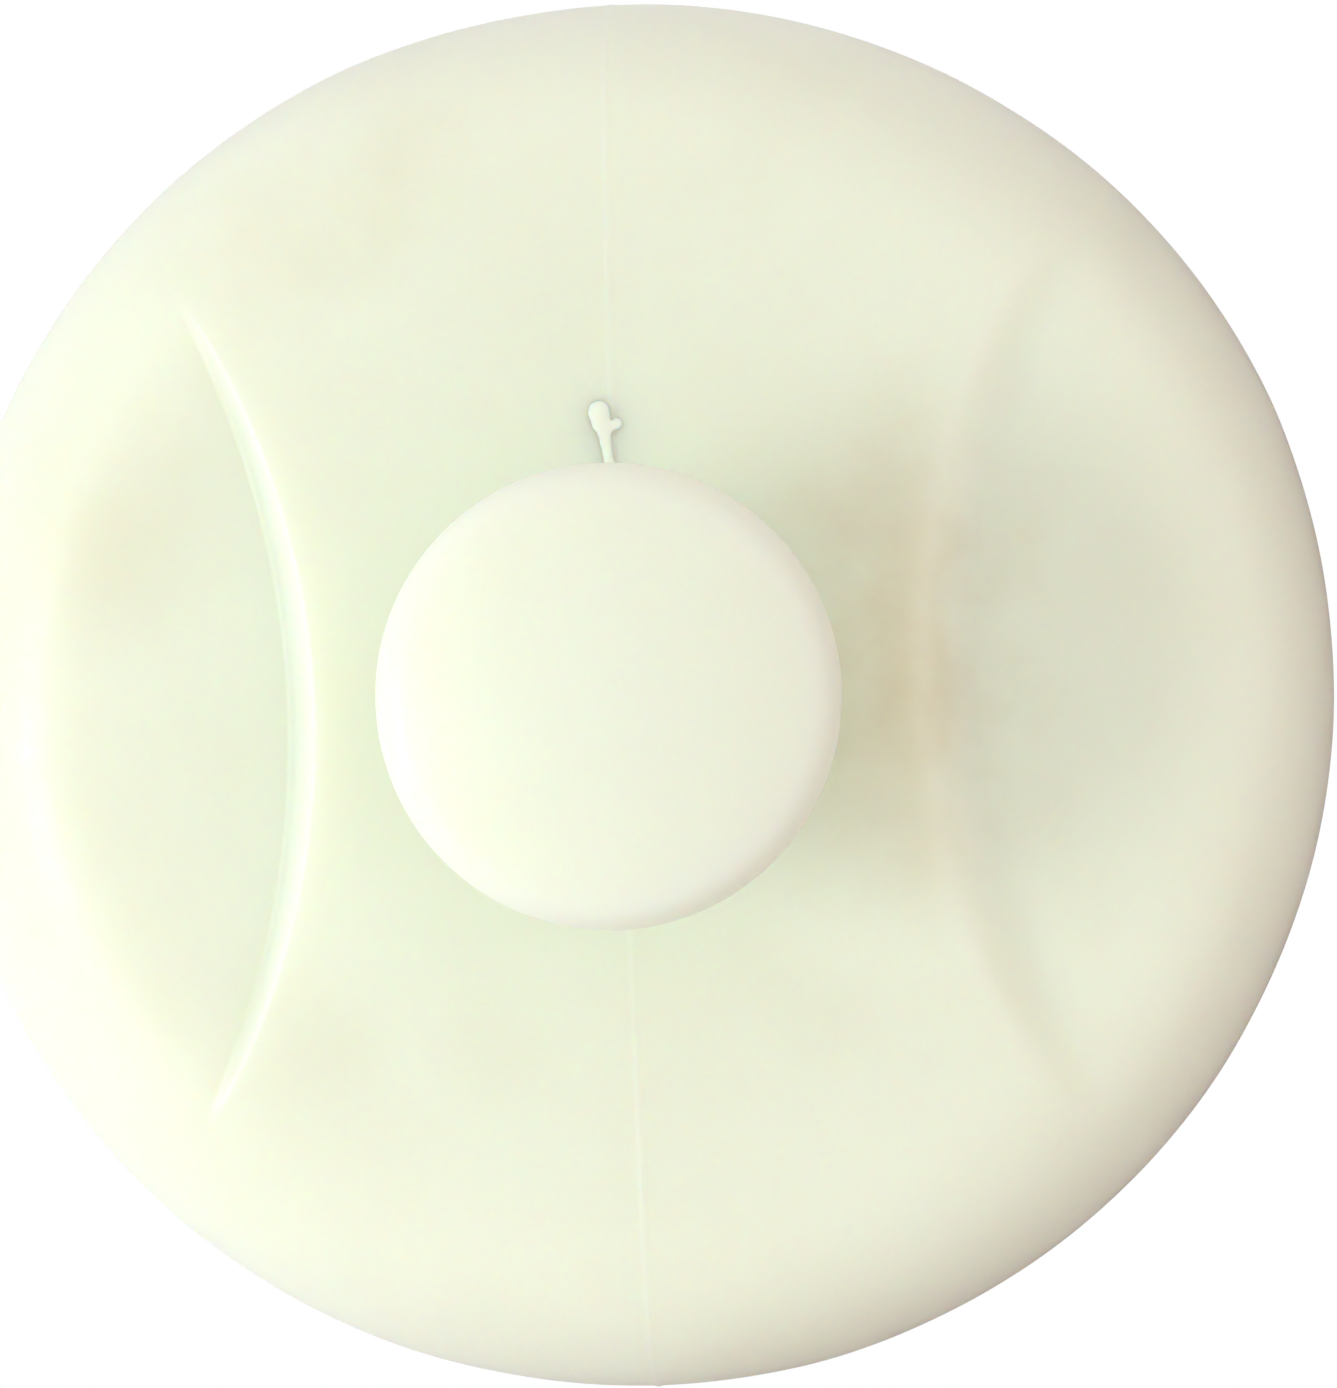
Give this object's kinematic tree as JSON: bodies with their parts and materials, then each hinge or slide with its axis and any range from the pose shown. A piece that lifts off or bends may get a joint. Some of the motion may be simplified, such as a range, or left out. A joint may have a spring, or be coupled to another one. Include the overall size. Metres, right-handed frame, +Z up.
{
  "type": "shaving soap puck",
  "caption": "Round hard shaving soap puck with a raised grip band, two finger scoops and a mushroom grip knob fused into its centre.",
  "frame": {"origin": "centre of the flat resting face, on the axis of the knob", "axes": "+Z up through the knob; the raised band and the mould's parting line run along Y; the finger scoops lie on -X and +X; the tongue of squeezed-out soap points to +Y"},
  "size_m": [0.064, 0.064, 0.029],
  "materials": {
    "soap_body": "satin, slightly translucent pale ivory-green hard soap, with faint tan mottling",
    "soap_knob": "satin, slightly translucent hard soap, a shade whiter than the puck",
    "soap_bead": "satin, remelted soap, paler than the puck"
  },
  "bodies": {
    "root": {"puck_body": "soap_body", "grip_knob": "soap_knob", "joint_bead": "soap_bead"}
  },
  "joints": []
}
